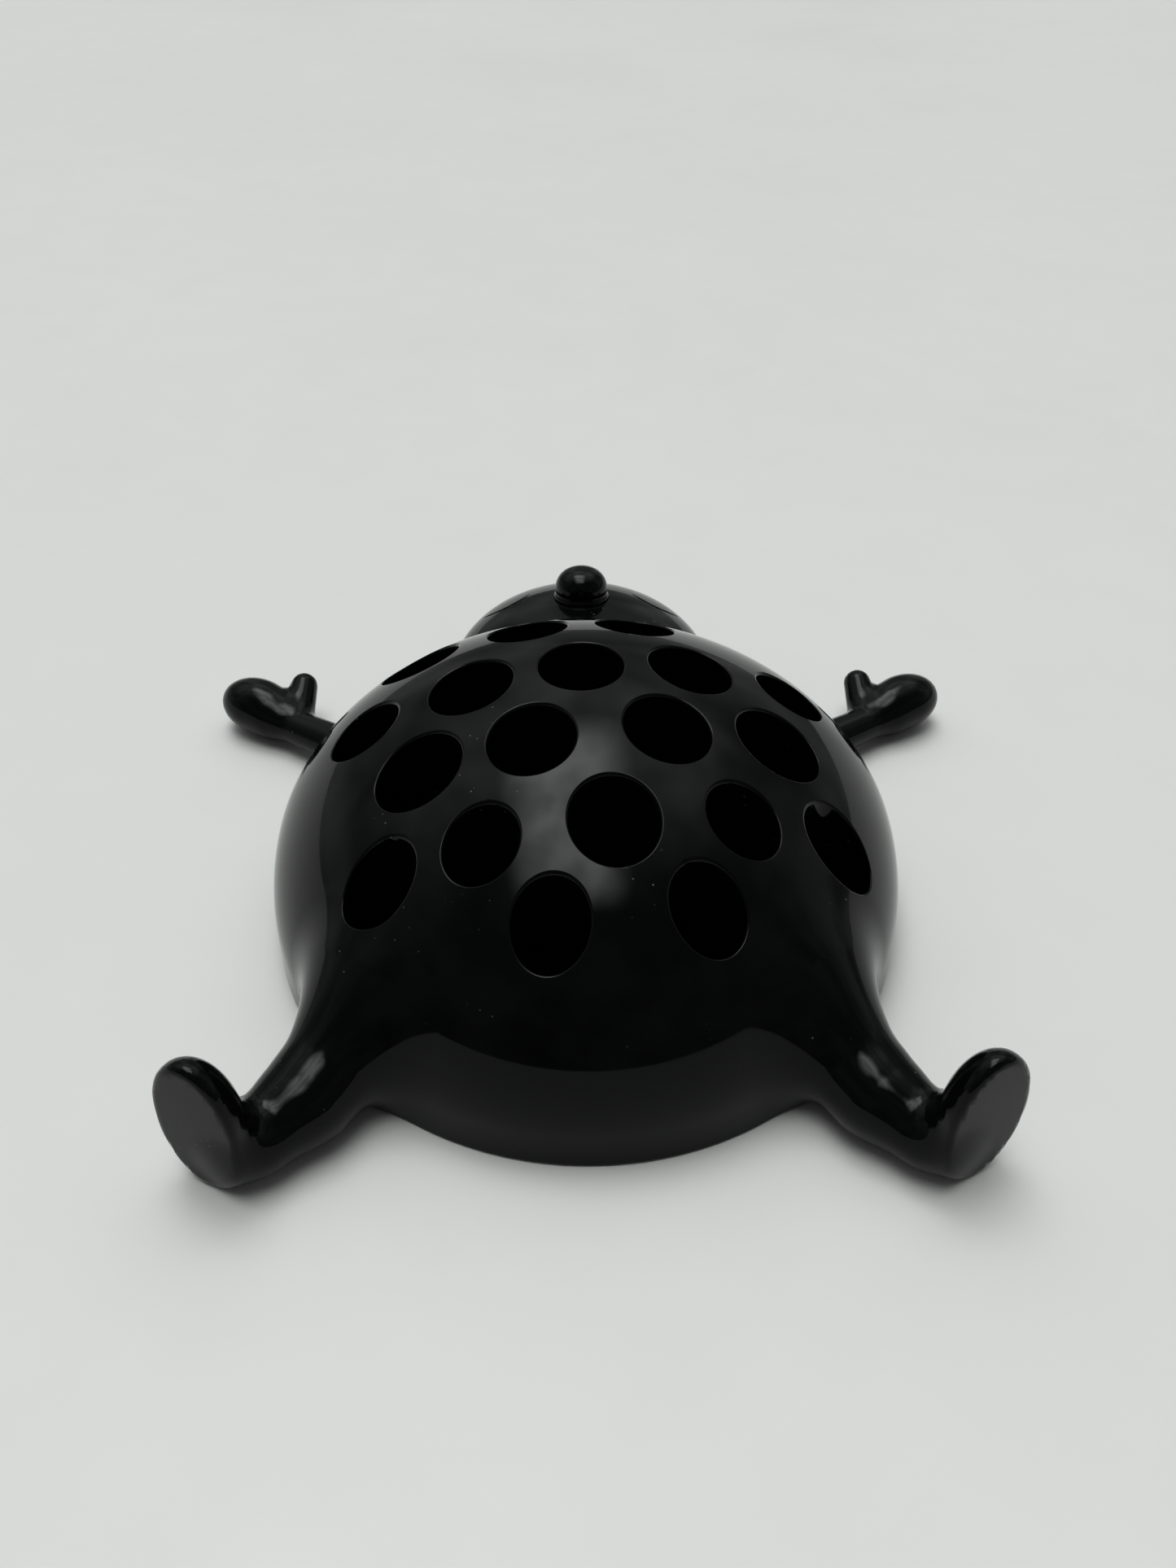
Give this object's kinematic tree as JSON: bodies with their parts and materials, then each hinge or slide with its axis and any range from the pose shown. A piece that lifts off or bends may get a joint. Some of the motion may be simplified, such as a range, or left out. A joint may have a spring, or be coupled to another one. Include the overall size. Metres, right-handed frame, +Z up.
{
  "type": "desk pen holder",
  "caption": "Gloss-black pen holder shaped as a figure lying on its back, with open pen wells of two sizes through its round belly.",
  "frame": {"origin": "on the table, in the middle of the rubber pad under the middle of the belly", "axes": "+Z up out of the table, along the wells; -Y towards the figure's feet, +Y towards its head; +X to the right seen from the feet"},
  "size_m": [0.136, 0.1363, 0.0447],
  "materials": {
    "shell": "polished moulded black plastic with fine handling scratches",
    "cover": "fine moulded matt",
    "screw": "zinc plated",
    "pad": "dull black rubber"
  },
  "bodies": {
    "root": {"body_shell": "shell", "nose_knob": "shell", "base_plate": "cover", "base_screw_1": "screw", "base_screw_2": "screw", "base_screw_3": "screw", "base_screw_4": "screw", "base_screw_5": "screw", "foot_pad_1": "pad", "foot_pad_2": "pad", "foot_pad_3": "pad", "foot_pad_4": "pad", "foot_pad_5": "pad"}
  },
  "joints": []
}
